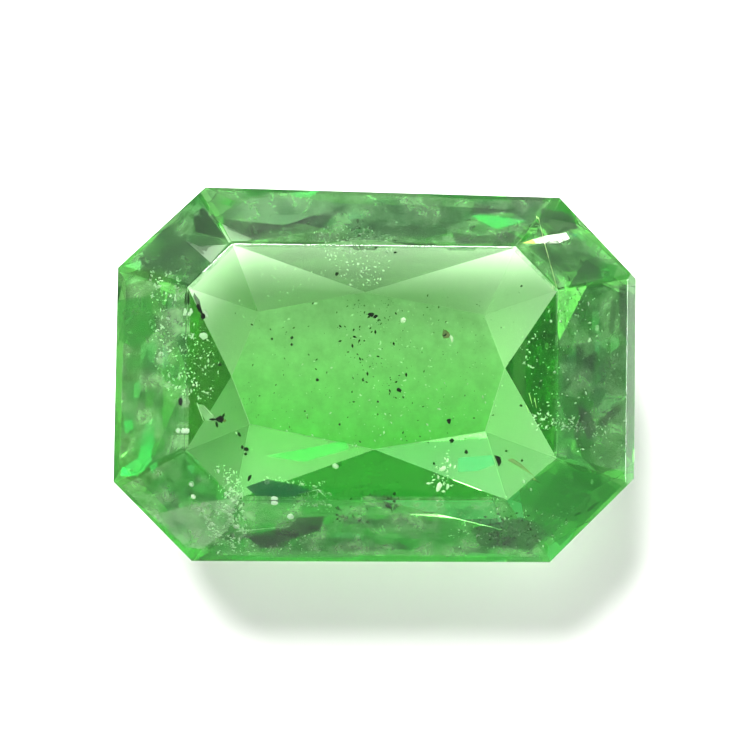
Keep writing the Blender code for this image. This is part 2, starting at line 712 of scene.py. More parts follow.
@dataclass
class Strewer:
    """Strews one small piece many times over a patch with geometry nodes."""

    flake_length: float = 2.0
    flake_height: float = 0.25
    foot_radius: float = 0.5
    top_radius: float = 0.3
    flake_sides: int = 4
    depth_spread: float = 0.5
    lean: float = 0.7
    rarity: float = 3.0

    def __post_init__(self) -> None:
        """Make the flake and the node group once, for every cloud."""
        self.flake = self.make_flake()
        self.group = self.make_group()

    def make_flake(self) -> bpy.types.Object:
        """Make the flat angular flake, one unit wide. It isn't shown itself.

        Returns:
            The flake.
        """
        bm = bmesh.new()
        bmesh.ops.create_cone(bm, cap_ends=True, segments=self.flake_sides, radius1=self.foot_radius,
                              radius2=self.top_radius, depth=self.flake_height)
        bmesh.ops.scale(bm, vec=(self.flake_length, 1.0, 1.0), verts=bm.verts)
        return bpy.data.objects.new("flake", make_mesh(bm, "flake"))

    def make_group(self) -> bpy.types.NodeTree:
        """Make the node group. Its inputs are named for what they set.

        Returns:
            The node group.
        """
        tree = bpy.data.node_groups.new("strew pieces", "GeometryNodeTree")
        sockets = (
            ("Patch", "NodeSocketGeometry"), ("Piece", "NodeSocketObject"),
            ("Density", "NodeSocketFloat"), ("Spread", "NodeSocketFloat"),
            ("Smallest", "NodeSocketFloat"), ("Largest", "NodeSocketFloat"),
            ("Seed", "NodeSocketInt"), ("Finish", "NodeSocketMaterial"),
        )
        for name, kind in sockets:
            tree.interface.new_socket(name, in_out="INPUT", socket_type=kind)
        tree.interface.new_socket("Pieces", in_out="OUTPUT", socket_type="NodeSocketGeometry")
        given = add_node(tree, "NodeGroupInput").outputs
        points = add_node(tree, "GeometryNodeDistributePointsOnFaces", links={
            "Mesh": given["Patch"], "Density": given["Density"], "Seed": given["Seed"]})
        jitter = add_node(tree, "FunctionNodeRandomValue", {"data_type": "FLOAT_VECTOR"},
                          {"Seed": given["Seed"]})
        jitter.inputs[0].default_value = (-1.0, -1.0, -self.depth_spread)
        jitter.inputs[1].default_value = (1.0, 1.0, self.depth_spread)
        offset = add_node(tree, "ShaderNodeVectorMath", {"operation": "SCALE"},
                          {"Vector": jitter.outputs[0], "Scale": given["Spread"]})
        moved = add_node(tree, "GeometryNodeSetPosition", links={
            "Geometry": points.outputs["Points"], "Offset": offset.outputs[0]})
        turn = add_node(tree, "FunctionNodeRandomValue", {"data_type": "FLOAT_VECTOR"},
                        {"Seed": given["Seed"]})
        turn.inputs[0].default_value = (-self.lean, -self.lean, 0.0)
        turn.inputs[1].default_value = (self.lean, self.lean, FULL_TURN)
        chance = add_node(tree, "FunctionNodeRandomValue", links={"Seed": given["Seed"]})
        rare = add_node(tree, "ShaderNodeMath", {"operation": "POWER"}, {0: chance.outputs[1]})
        rare.inputs[1].default_value = self.rarity
        size = add_node(tree, "ShaderNodeMapRange", links={
            "Value": rare.outputs[0], "To Min": given["Smallest"], "To Max": given["Largest"]})
        piece = add_node(tree, "GeometryNodeObjectInfo", links={"Object": given["Piece"]})
        strewn = add_node(tree, "GeometryNodeInstanceOnPoints", links={
            "Points": moved.outputs["Geometry"], "Instance": piece.outputs["Geometry"],
            "Rotation": turn.outputs[0], "Scale": size.outputs[0]})
        real = add_node(tree, "GeometryNodeRealizeInstances",
                        links={"Geometry": strewn.outputs["Instances"]})
        dressed = add_node(tree, "GeometryNodeSetMaterial", links={
            "Geometry": real.outputs["Geometry"], "Material": given["Finish"]})
        add_node(tree, "NodeGroupOutput", links={"Pieces": dressed.outputs["Geometry"]})
        return tree

    def strew(self, patch: bpy.types.Object, settings: dict) -> bpy.types.Mesh:
        """Run the node group on a patch.

        Args:
            patch: The object whose faces take the pieces.
            settings: Values for the group's named inputs.

        Returns:
            The strewn pieces as one plain mesh.
        """
        modifier = patch.modifiers.new("strew pieces", "NODES")
        modifier.node_group = self.group
        for item in self.group.interface.items_tree:
            if item.name in settings:
                modifier[item.identifier] = settings[item.name]
        graph = bpy.context.evaluated_depsgraph_get()
        mesh = bpy.data.meshes.new_from_object(patch.evaluated_get(graph))
        patch.modifiers.remove(modifier)
        return mesh

    def clear(self) -> None:
        """Remove the flake once every cloud is plain mesh."""
        bpy.data.objects.remove(self.flake)


@dataclass(frozen=True)
class Cloud:
    """Many small pieces strewn over a patch inside the stone."""

    name: str
    outline_px: Outline
    count: int
    smallest_px: float
    largest_px: float
    share: float = 0.3
    tilt: float = 0.08
    spread_px: float = 4.0
    mineral: Mineral = Mineral.CALCITE
    seed: int = 1

    def patch(self, sight: SightLine) -> bpy.types.Object:
        """Make the patch that the pieces are strewn over.

        Args:
            sight: The view into the stone.

        Returns:
            The patch.
        """
        bm = bmesh.new()
        face = sight.sheet(bm, self.outline_px, self.share, self.tilt)
        bmesh.ops.triangulate(bm, faces=[face])
        return add_object(self.name, make_mesh(bm, self.name))

    def build(self, sight: SightLine, strewer: Strewer) -> bpy.types.Object:
        """Strew the pieces and keep them as plain mesh.

        Args:
            sight: The view into the stone.
            strewer: What strews the pieces.

        Returns:
            The cloud.
        """
        patch = self.patch(sight)
        area = sum(face.area for face in patch.data.polygons)
        pixel = sight.photo.pixel
        settings = {
            "Piece": strewer.flake,
            "Density": self.count / area,
            "Spread": self.spread_px * pixel,
            "Smallest": self.smallest_px * pixel,
            "Largest": self.largest_px * pixel,
            "Seed": self.seed,
            "Finish": self.mineral.value.build(),
        }
        mesh = strewer.strew(patch, settings)
        bpy.data.objects.remove(patch)
        return put_inside(mesh, self.name, self.mineral)


@dataclass
class Inclusions:
    """Everything that grew or cracked inside the stone, and the films that paint its reflections and shade,
    placed from the photo.
    """

    sight: SightLine
    strewer: Strewer = field(default_factory=Strewer)

    def build(self) -> None:
        """Build the single pieces by name, then the strewn ones."""
        for piece in SINGLE_PIECES + VEILS_AND_REFLECTIONS + SHARDS:
            bm = bmesh.new()
            piece.shape(bm, self.sight, random.Random(piece.name))
            built = put_inside(make_mesh(bm, piece.name), piece.name, piece.mineral)
            LOG.info("%s: %d faces", piece.name, len(built.data.polygons))
        for cloud in CLOUDS:
            built = cloud.build(self.sight, self.strewer)
            LOG.info("%s: %d faces", cloud.name, len(built.data.polygons))
        self.strewer.clear()


def lettered(kind: type, name: str, rows: tuple, **shared: object) -> tuple:
    """Make like pieces that share a name and take one letter each.

    Args:
        kind: The class of the pieces.
        name: What their names start with.
        rows: Each piece's own values, in the order of the class's fields after its name.
        shared: Values that all of them have.

    Returns:
        The pieces.
    """
    return tuple(kind(f"{name}_{letter}", *row, **shared)
                 for letter, row in zip(ascii_lowercase, rows))


# Each piece is named for where it shows in the photo or what it looks like there. Its
# places and sizes are in pixels, and its share says how deep it lies, as in SightLine.reach.
SINGLE_PIECES = (
    Grain("black_oval", (180.5, 401.5), (5.6, 9.4), 5, 0.04, roughness=0.1),
    Film("oval_halo", ((182, 396), (187, 397), (190.5, 402), (187, 408), (182, 407)), Mineral.HAZE, 0.09,
         0.2),
    Grain("star_body", (219.5, 419.5), (9, 8), 10, 0.2, roughness=0.3),
    Grain("star_arm_left", (213, 419.5), (8.5, 2.8), share=0.2),
    Grain("star_arm_down", (217, 424.5), (3, 6.5), 8, 0.2),
    Grain("star_arm_up", (223, 416), (3, 6.5), -30, 0.2),
    Grain("star_arm_right", (224.5, 420.5), (4, 3.6), share=0.2, mineral=Mineral.STAIN),
    Film("brown_feather", ((197, 404), (204, 405), (209, 410), (214, 416), (211, 421), (205, 420),
         (201, 413)), Mineral.FLUID, 0.33, 0.6, 0.03),
    Needle("feather_edge_left", (197, 403), (203.5, 421), 1.2, 0.32, Mineral.CALCITE),
    Needle("feather_edge_right", (204, 406), (215, 418), 0.9, 0.32, Mineral.CALCITE),
    Grain("centre_grain", (398.8, 390), (6.5, 3.9), -30),
    *lettered(Grain, "right_grain", (
        ((449, 421), (5.2, 5.9), 20, 0.4), ((451.8, 440.4), (5.2, 5.2), 0.0, 0.4),
        ((466.2, 452), (4.7, 4.4), 0.0, 0.4), ((506.5, 451), (3.1, 2.1)), ((522, 460.6), (2.9, 2.9)),
        ((521, 405.5), (3.1, 2.9)), ((521.5, 286), (3.4, 2), 20), ((434, 463.5), (3.1, 3.1)),
    )),
    *lettered(Grain, "left_grain", (
        ((246.3, 449), (5.2, 4.7), 0.0, 0.35), ((242.3, 447), (3.1, 3.9), 0.0, 0.35),
        ((245.5, 454), (3.4, 2.9), 0.0, 0.35),
    )),
    Grain("slanted_grain", (249.6, 477.6), (3.1, 7.8), -25),
    Grain("pair_dark", (239.5, 434.5), (2.9, 5.2), 30),
    Grain("pair_white", (236.3, 433), (2, 3.2), 30, mineral=Mineral.FLASH),
    Grain("left_grain_d", (220, 364.7), (3.6, 3.6)),
    *lettered(Grain, "mid_grain", (
        ((317.5, 379.8), (3.9, 3.4)), ((371, 314.5), (6.5, 5.2)), ((375.5, 316.5), (5.2, 3.4), 30),
        ((271.9, 339), (3.1, 3.1)), ((291.9, 337.7), (3.6, 3.6)), ((291.9, 344.5), (3.1, 3.1)),
        ((378, 401.5), (2.9, 2.6)), ((339.5, 424.5), (2.6, 2.6)),
    )),
    *lettered(Grain, "top_grain", (
        ((336.8, 273.8), (4.2, 4.2), 0.0, 0.2), ((288, 203.3), (5.5, 4.2), 0.0, 0.15),
        ((270.8, 215.6), (5.2, 5.2), 40, 0.2),
    )),
    Grain("crack_upright", (188.6, 299), (2, 16), share=0.1, roughness=0.15),
    Grain("crack_olive", (197, 301), (5, 20), 24, 0.12, Mineral.SMOKE),
    *lettered(Grain, "crack_black", (
        ((199.5, 309), (3.6, 13), 24), ((203, 316.5), (6, 7), 10),
    ), share=0.1),
    *lettered(Grain, "crack_flake", (
        ((206, 313.5), (4, 8), 20, 0.1), ((185, 311.5), (4, 7), 0.0, 0.15),
        ((189.5, 314), (4, 4), 0.0, 0.15),
    ), mineral=Mineral.CALCITE),
    Grain("tilted_oval", (192.5, 336.5), (2.6, 7), -25, 0.15, Mineral.CALCITE),
    Grain("pale_diamond", (203.5, 335.5), (8, 9), 45, mineral=Mineral.CALCITE),
    Grain("white_dot_left", (193.5, 385), (3, 3), share=0.2, mineral=Mineral.FLASH),
    *lettered(Grain, "white_spot", (
        ((438.5, 487), (6, 10), -25, 0.25, Mineral.FLASH, 0.35),
        ((443, 469), (7, 5), 30, 0.25, Mineral.FLASH, 0.4),
        ((447.5, 460), (3, 6), -20, 0.25, Mineral.FLASH, 0.4),
        ((447.5, 487), (3, 7), -20, 0.25, Mineral.CALCITE, 0.4),
    )),
    *lettered(Grain, "round_spot", (
        ((191.5, 484), (6.5, 6.5), 0.0, 0.12, Mineral.CALCITE),
        ((193.3, 496.5), (6, 6), 0.0, 0.12, Mineral.FLASH),
        ((178, 430.5), (6, 6), 0.0, 0.12, Mineral.CALCITE),
        ((187, 431), (6, 6.5), 0.0, 0.12, Mineral.CALCITE),
        ((290.5, 516.5), (8, 8), 0.0, 0.1, Mineral.CALCITE),
        ((274.5, 503), (8.5, 6), 0.0, 0.1, Mineral.CALCITE),
        ((267, 482.5), (6, 4.5), 0.0, 0.2, Mineral.CALCITE),
        ((335.5, 466), (8, 6), -20, 0.25, Mineral.CALCITE),
    ), roughness=0.1),
    Grain("bright_crystal", (403.4, 320), (7, 6.5), 10, 0.25, Mineral.FLASH),
    Grain("crystal_dark_side", (446, 334), (8, 9), 20, mineral=Mineral.STAIN, roughness=0.4),
    Grain("crystal_light_side", (451.5, 338), (3, 9), 10, 0.28, Mineral.FLASH, 0.4),
    Grain("crystal_black_core", (445, 335), (5, 2.6), 25, 0.27),
    *lettered(Grain, "dot_right", (
        ((551, 321), (2.6, 3.2), 0.0, 0.3, Mineral.CALCITE),
        ((529, 342), (2.4, 2.4), 0.0, 0.3, Mineral.CALCITE),
        ((554.5, 372), (3, 3), 0.0, 0.3, Mineral.CALCITE),
        ((597, 328), (4.5, 8), 0.0, 0.3, Mineral.FLASH),
        ((589.5, 340), (3, 6), -15, 0.3, Mineral.CALCITE),
        ((531, 489.5), (3, 4), 0.0, 0.3, Mineral.CALCITE),
        ((592, 482), (3, 7), 0.0, 0.3, Mineral.CALCITE),
    )),
    Grain("lower_right_grain", (594, 506), (18.2, 3.4), 35, 0.2, roughness=0.4),
    Grain("lower_right_smear", (577, 514.5), (9.1, 3.1), 30, 0.2, roughness=0.4),
    Grain("lower_mid_grain", (394.5, 494), (3.9, 3.4), share=0.2),
    Film("dark_crescent", ((507, 460), (512, 458), (520, 463), (528, 470), (534, 476), (524, 470),
         (514, 464)), Mineral.STAIN, 0.35, 0.6, 0.02),
    Film("dark_wedge", ((494, 455), (500.5, 457), (501.5, 462), (499, 467)), Mineral.GRAPHITE, 0.35, 0.6,
         0.02),
    Glint("teal_patch", ((458, 458), (492, 455), (495, 464), (478, 471), (458, 472)), 0.3,
         Mineral.TEAL_MIRROR),
    Glint("fire_sliver", ((533, 239.5), (547, 235.5), (566, 232.5), (570, 238.5), (558, 243.5),
         (536, 243.5)), 0.12, Mineral.WHITE_MIRROR),
    Glint("fire_gold_tip", ((523, 243), (533, 239.5), (536, 243.5)), 0.12, Mineral.GOLD_MIRROR),
    Glint("fire_teal_tip", ((566, 232.5), (578, 234.5), (570, 238.5)), 0.12, Mineral.TEAL_MIRROR),
    Film("pale_triangle", ((185, 240), (197, 246), (229, 247), (211, 263)), Mineral.FLUID, 0.1, 0.6,
         0.02),
    Film("pale_triangle_top", ((222, 224), (254, 238), (247, 241), (231, 241)), Mineral.FLUID, 0.1, 0.6,
         0.02),
    # Painted shade: the murk, dark, deep, smoky and pool films below darken the crown where it shows dark,
    # and the bright and soft films paint its bright reflections
    Film("deep_block_top_left", ((193, 214), (203, 207), (226, 239), (195, 232)), Mineral.DARK),
    Film("murk_top_left", ((136, 262), (160, 232), (192, 208), (194, 232), (224, 242), (190, 276),
         (160, 272)), Mineral.MURK, 0.1, 0.6),
    Film("murk_top_right", ((528, 246), (556, 240), (590, 252), (612, 276), (570, 282)), Mineral.MURK,
         0.1, 0.6),
    Film("murk_corner_left", ((128, 264), (166, 228), (192, 236), (188, 268), (160, 268)), Mineral.MURK,
         0.14, 0.6),
    Film("murk_corner_right", ((566, 226), (602, 258), (612, 274), (566, 272), (538, 250)), Mineral.MURK,
         0.14, 0.6),
    Film("murk_lens_top", ((232, 210), (262, 197), (330, 200), (352, 206), (308, 224), (256, 224)),
         Mineral.MURK, 0.14, 0.6),
    Film("murk_top", ((356, 204), (380, 200), (440, 204), (462, 228), (420, 240), (372, 230)),
         Mineral.MURK, 0.1, 0.6),
    Film("murk_bottom_right", ((560, 468), (600, 474), (622, 486), (560, 546), (528, 516)), Mineral.DEEP,
         0.1, 0.6),
    Film("haze_bottom_left", ((153, 515), (200, 503), (236, 500), (228, 530), (200, 549), (186, 547)),
         Mineral.HAZE, 0.1, 0.6),
    *lettered(Film, "dark_streak_right", (
        (((600, 346), (607, 350), (612, 362), (609, 376), (602, 384), (598, 372)),),
        (((612, 300), (617, 302), (613, 336), (609, 330)),),
    ), crumple_px=0.6, mineral=Mineral.MURK, share=0.09),
    Film("smoky_wedge_top_left", ((222, 219), (270, 225), (295, 226), (342, 207), (318, 231), (255, 240),
         (228, 229)), Mineral.SMOKE),
    Film("smoky_strip_top", ((452, 232), (480, 236), (515, 231), (514, 243), (456, 244)), Mineral.SMOKE),
    Film("smoky_top_right", ((475, 201), (546, 201), (535, 214), (470, 213)), Mineral.SMOKE),
    Film("smoky_corner_right", ((542, 208), (572, 214), (578, 228), (552, 234), (538, 226)),
         Mineral.SMOKE),
    Film("deep_corner_right", ((600, 262), (618, 266), (612, 281), (598, 280)), Mineral.DEEP),
    Glint("bright_sliver_right", ((470, 215), (497, 216), (526, 221), (495, 229)), 0.07),
    Glint("bright_sliver_top", ((290, 193), (319, 191), (311, 197), (294, 196.5)), 0.07),
    Film("soft_lens_top", ((228, 214), (250, 198), (300, 197), (345, 205), (312, 219), (285, 225),
         (250, 221)), Mineral.SOFT, 0.09),
    Film("smoky_patch_bottom", ((244, 534), (290, 528), (296, 519), (325, 516), (319, 531), (292, 539),
         (285, 547), (260, 548)), Mineral.SMOKE, 0.07),
    Film("deep_patch_bottom", ((248, 486), (268, 479), (305, 486), (352, 487), (330, 497), (262, 497)),
         Mineral.DEEP, 0.2, tilt=0.02),
    Film("dark_pool_bottom", ((246, 487), (266, 480), (296, 485), (312, 491), (290, 497), (256, 496)),
         Mineral.POOL, 0.15),
    Film("smoky_core_bottom", ((276, 524), (300, 517), (324, 517), (318, 530), (294, 538), (274, 534)),
         Mineral.SMOKE, 0.1),
    Film("smoky_tail_bottom", ((244, 536), (276, 534), (290, 540), (262, 547)), Mineral.SMOKE, 0.1),
    Film("deep_corner_bottom_right", ((512, 500), (557, 462), (602, 480), (618, 489), (582, 524),
         (545, 512)), Mineral.DEEP, 0.07),
    *lettered(Glint, "bright_streak_left", (
        (((147, 418), (155, 420), (151, 462), (138, 476), (121, 476), (122, 468), (138, 458)),),
        (((124, 421), (132, 419), (133, 429), (125, 434)),),
        (((150, 467), (158, 460), (156, 470), (151, 474)),),
    ), share=0.07),
    Glint("bright_streak_frame", ((266, 456), (345, 441), (349, 449), (304, 462)), 0.3),
    Film("bright_corner_left", ((124, 266), (141, 260), (140, 271)), Mineral.BRIGHT, 0.07, 0.2),
    Film("bright_strip_bottom", ((464, 557), (470, 552), (518, 556)), Mineral.BRIGHT, 0.07, 0.1),
    Film("soft_strip_bottom", ((250, 558), (284, 550), (340, 552), (364, 557.5)), Mineral.SOFT, 0.07,
         0.1),
    *lettered(Film, "smoky_streak_right", (
        (((577, 404), (590, 412), (596, 430), (588, 440), (582, 425)),),
        (((596, 424), (614, 407), (622, 409), (604, 426)),),
    ), mineral=Mineral.SMOKE),
    Film("smoky_strip_right", ((619, 284), (626, 285), (627, 340), (620, 330)), Mineral.SMOKE),
    Film("soft_wedge_right", ((594, 416), (606, 392), (624, 400), (604, 412)), Mineral.SOFT),
    Film("smoky_patch_left", ((118, 300), (150, 296), (156, 330), (136, 350), (119, 340)), Mineral.DEEP),
    Film("smoky_lower_right", ((470, 528), (520, 517), (552, 528), (530, 550), (480, 546)),
         Mineral.SMOKE),
    Needle("long_needle_upper", (536.5, 216), (544, 241), 0.8, 0.08),
    Needle("long_needle_lower", (543.7, 240), (557, 288), share=0.08),
    # Painted highlight: a pale needle where the crown shows a thin bright line of reflected light
    Needle("thin_bright_line", (236, 531.5), (290, 526.5), 1.4, 0.12, Mineral.CALCITE),
    Needle("fine_line_left", (299, 494), (318, 489.5), 0.9, 0.15, Mineral.CALCITE),
    Needle("fine_line_right", (318, 489.5), (326, 497), 0.9, 0.15, Mineral.CALCITE),
    *lettered(Needle, "slant_needle", (
        ((529, 393), (532, 404), 0.8), ((534.5, 398), (536.5, 408), 0.8), ((526, 405), (529, 413)),
    ), share=0.3),
)

# The crown facets as the photo shows them, a little inside their edges
CROWN_OUTLINES = {
    "top": ((206, 190), (552, 202), (512, 243), (236, 241)),
    "top_right": ((556, 206), (628, 274), (559, 288), (518, 248)),
    "right": ((628, 284), (626, 472), (558, 456), (560, 292)),
    "bottom_right": ((626, 484), (554, 554), (509, 500), (555, 460)),
    "bottom": ((546, 556), (198, 555), (234, 501), (504, 502)),
    "bottom_left": ((188, 552), (122, 486), (184, 453), (229, 499)),
    "left": ((119, 476), (124, 276), (186, 289), (184, 448)),
    "top_left": ((126, 264), (198, 196), (230, 243), (189, 284)),
}

# The lower left of the crown is milky, which its veil paints as more light, and the lower right is clear
PALE_SIDES = ("bottom", "bottom_left", "left")
CLEAR_SIDE = "bottom_right"

# Veils over the crown facets: drops that also paint the crown's reflections and shade
VEILS_AND_REFLECTIONS = tuple(
    Film(f"veil_{side}", outline, Mineral.PALE_VEIL if side in PALE_SIDES else Mineral.VEIL,
         share=0.12, crumple_px=1.5, tilt=0.0, rounds=3)
    for side, outline in CROWN_OUTLINES.items() if side != CLEAR_SIDE
)

# The angular patches of painted reflection and shade under each crown facet: what they are, how many and
# how large
SHARD_KINDS = (
    (Mineral.MURK, 7, 0.30),
    (Mineral.SOFT, 5, 0.26),
    (Mineral.BRIGHT, 5, 0.16),
    (Mineral.SMOKE, 4, 0.16),
    (Mineral.TEAL, 3, 0.14),
)

SHARDS = tuple(
    Shards(f"{mineral.name.lower()}_shards_{side}", outline, count, size, mineral)
    for side, outline in CROWN_OUTLINES.items() if side != CLEAR_SIDE
    for mineral, count, size in SHARD_KINDS
)

# Each cloud's count is a number of pieces over its whole outline
CLOUDS = (
    Cloud("left_fingerprint", ((155, 255), (178, 262), (188, 300), (188, 392), (160, 394), (150, 320)),
         260, 0.5, 3.6, 0.2, seed=3),
    Cloud("left_window_flecks", ((190, 330), (205, 325), (221, 375), (208, 405), (190, 390)), 150, 0.4,
         2.6, 0.25, seed=4),
    Cloud("top_flecks", ((312, 228), (402, 222), (396, 241), (320, 241)), 170, 0.5, 3, 0.2, seed=5),
    Cloud("top_black_flecks", ((355, 222), (400, 224), (395, 240), (352, 240)), 40, 0.8, 4.2, 0.2,
         mineral=Mineral.GRAPHITE, seed=6),
    Cloud("notch_flecks", ((320, 246), (395, 246), (380, 288), (345, 284)), 190, 0.4, 2.4, 0.2, seed=7),
    Cloud("frame_flecks", ((258, 262), (330, 272), (300, 300), (262, 300)), 60, 0.6, 2, seed=8),
    Cloud("lower_left_cloud", ((200, 508), (225, 500), (248, 503), (252, 535), (225, 545), (205, 530)),
         240, 0.5, 4, 0.2, seed=9),
    Cloud("bottom_left_specks", ((215, 540), (320, 535), (320, 552), (215, 552)), 120, 0.6, 2.6, 0.15,
         seed=10),
    Cloud("bottom_green_flecks", ((262, 478), (330, 484), (336, 512), (300, 505)), 120, 0.6, 3.4, 0.25,
         seed=11),
    Cloud("bottom_dark_specks", ((335, 508), (372, 506), (368, 522), (336, 522)), 60, 0.6, 3.6, 0.15,
         mineral=Mineral.GRAPHITE, seed=12),
    Cloud("bottom_mid_dark_specks", ((382, 498), (402, 498), (400, 508), (384, 508)), 30, 0.8, 4.2, 0.15,
         mineral=Mineral.GRAPHITE, seed=13),
    Cloud("bottom_right_dark_specks", ((468, 522), (520, 508), (540, 545), (490, 540)), 120, 0.6, 3, 0.18,
         mineral=Mineral.GRAPHITE, seed=14),
    Cloud("bottom_right_specks", ((440, 505), (580, 500), (560, 548), (450, 545)), 160, 0.6, 2.6, 0.2,
         seed=15),
    Cloud("right_band", ((534, 415), (548, 414), (606, 424), (604, 436), (560, 428), (536, 426)), 150,
         0.7, 3, 0.2, seed=16),
    Cloud("right_notch_flecks", ((520, 330), (555, 310), (558, 440), (540, 440)), 80, 0.5, 2.2, seed=17),
    Cloud("right_crown_flecks", ((565, 300), (620, 290), (622, 450), (570, 450)), 140, 0.6, 2.6, 0.2,
         seed=18),
    Cloud("centre_dark_specks", ((338, 300), (392, 296), (415, 345), (400, 400), (350, 380), (336, 340)),
         120, 0.6, 2.7, mineral=Mineral.GRAPHITE, seed=19),
    Cloud("centre_pale_specks", ((350, 310), (460, 300), (455, 400), (380, 440), (350, 390)), 110, 0.5,
         2.4, seed=20),
    Cloud("table_dark_specks", ((230, 300), (520, 290), (500, 450), (250, 450)), 200, 0.5, 1.9, 0.4,
         mineral=Mineral.GRAPHITE, seed=21),
    Cloud("table_pale_specks", ((230, 290), (510, 290), (500, 450), (250, 450)), 200, 0.6, 2.4, 0.35,
         seed=22),
    Cloud("lower_left_glitter", ((212, 465), (236, 470), (244, 495), (232, 497)), 90, 0.7, 3, 0.25,
         seed=23),
    Cloud("left_black_dust", ((245, 385), (262, 400), (240, 415), (232, 408)), 40, 0.3, 0.9,
         mineral=Mineral.GRAPHITE, seed=24),
    Cloud("white_spray", ((430, 485), (445, 452), (452, 455), (452, 492)), 60, 0.6, 3, 0.25,
         mineral=Mineral.FLASH, seed=25),
)


@dataclass
class Stone:
    """The cut stone. Its facets are the frame's, and its edges are worn very slightly round."""

    node: str = STONE_NODE
    edge_wear: float = 0.004 * MM
    merge: float = 0.0001 * MM
    flat_angle: float = math.radians(0.4)
    edge_angle: float = math.radians(2.0)
    finish: GarnetFinish = GarnetFinish()

    def build(self) -> bpy.types.Object:
        """Copy the frame's stone, merge its facets and round its edges.

        Returns:
            The stone.
        """
        bm = bmesh.new()
        bm.from_mesh(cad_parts[self.node].data)
        bmesh.ops.remove_doubles(bm, verts=bm.verts, dist=self.merge)
        bmesh.ops.dissolve_limit(bm, angle_limit=self.flat_angle, verts=bm.verts, edges=bm.edges)
        for face in bm.faces:
            face.smooth = False
        mesh = make_mesh(bm, "polished_stone")
        stone = add_object("polished_stone", mesh)
        mesh.materials.append(self.finish.build())
        bevel = stone.modifiers.new("edge wear", "BEVEL")
        bevel.width = self.edge_wear
        bevel.segments = 1
        bevel.limit_method = "ANGLE"
        bevel.angle_limit = self.edge_angle
        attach(stone, BODY)
        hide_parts(self.node)
        LOG.info("polished stone: %d facets before edge wear", len(mesh.polygons))
        return stone


@dataclass(frozen=True)
class FacetFilm:
    """How strongly the film on one pavilion facet paints its light and shade, and its colour."""

    name: str
    color: str = "FFFFFF"
    coverage: float = 0.0


# Films of painted light and shade on the star, clockwise from the facet under the long side at the top.
# Pale films paint the facets that catch more light and dark ones those in shade. A facet with a name alone
# is bare.
STAR_FILMS = (
    FacetFilm("top", "84A080", 0.26),
    FacetFilm("top_right_long"),
    FacetFilm("top_right_corner", "F0FFE8", 0.10),
    FacetFilm("top_right_short"),
    FacetFilm("right", "208C24", 0.22),
    FacetFilm("bottom_right_short", "84DC84", 0.34),
    FacetFilm("bottom_right_corner", "74D080", 0.42),
    FacetFilm("bottom_right_long", "80E8B0", 0.40),
    FacetFilm("bottom", "10C030", 0.42),
    FacetFilm("bottom_left_long", "70F078", 0.34),
    FacetFilm("bottom_left_corner", "50BC4C", 0.44),
    FacetFilm("bottom_left_short", "60C458", 0.38),
    FacetFilm("left", "90DC64", 0.24),
    FacetFilm("top_left_short"),
    FacetFilm("top_left_corner", "B8E0A8", 0.30),
    FacetFilm("top_left_long"),
)


@dataclass
class PaintedFacetLight:
    """Painted light and shade on the pavilion facets, as thin films. It tells each facet under the table
    from the next, as the light that each one catches does.
    """

    lift: float = 0.004 * MM
    shrink: float = 0.995
    level: float = math.radians(0.5)
    steepest: float = math.radians(50.0)
    first_turn: float = math.radians(4.0)
    film_roughness: float = 0.8
    finish: PaintedLightFinish = PaintedLightFinish()

    def lay(self, stone: bpy.types.Object, facet: bpy.types.MeshPolygon, name: str,
            material: bpy.types.Material) -> None:
        """Lay a film just inside one facet.

        Args:
            stone: The stone that the facet is part of.
            facet: The facet.
            name: Name of the film.
            material: Finish of the film.
        """
        bm = bmesh.new()
        rim = []
        for index in facet.vertices:
            corner = facet.center.lerp(stone.data.vertices[index].co, self.shrink)
            rim.append(bm.verts.new(corner - self.lift * facet.normal))
        bm.faces.new(rim)
        mesh = make_mesh(bm, name)
        mesh.materials.append(material)
        film = add_object(name, mesh)
        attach(film, BODY)
        LOG.info("%s: %.0f degrees around the stone", name, math.degrees(self.clockwise(facet)))

    def clockwise(self, facet: bpy.types.MeshPolygon) -> float:
        """Angle of a facet around the stone, clockwise from the far long side."""
        return math.atan2(facet.normal.x, facet.normal.y) % FULL_TURN

    def build(self, stone: bpy.types.Object) -> None:
        """Lay the films on the base facet and on the star around it.

        Args:
            stone: The polished stone.
        """
        down = Vector((0.0, 0.0, -1.0))
        star = []
        for facet in stone.data.polygons:
            slope = facet.normal.angle(down)
            if slope < self.level:
                # The base facet's film paints its light, paler towards the top
                self.lay(stone, facet, "residue_base", self.finish.build())
            elif slope < self.steepest:
                star.append(facet)
        star.sort(key=lambda facet: (self.clockwise(facet) + self.first_turn) % FULL_TURN)
        for facet, film in zip(star, STAR_FILMS):
            if film.coverage > 0.0:
                # Each star facet's film paints the light and shade that the facet catches
                name = f"residue_{film.name}"
                finish = InclusionFinish(name, film.color, self.film_roughness, coverage=film.coverage)
                self.lay(stone, facet, name, finish.build())


@dataclass(frozen=True)
class SoftLight:
    """One round soft light of the studio. It faces the stone."""

    name: str
    place: tuple[float, float, float]
    size: float
    radiance: float

    def hang(self) -> None:
        """Hang the light in the scene. Its power follows from its radiance and its area."""
        light = bpy.data.lights.new(self.name, "AREA")
        light.shape = "DISK"
        light.size = self.size
        light.energy = self.radiance * math.pi * (math.pi * (0.5 * self.size) ** 2)
        lamp = add_object(self.name, light)
        lamp.visible_camera = False
        lamp.location = self.place
        lamp.rotation_euler = Vector(self.place).to_track_quat("Z", "Y").to_euler()


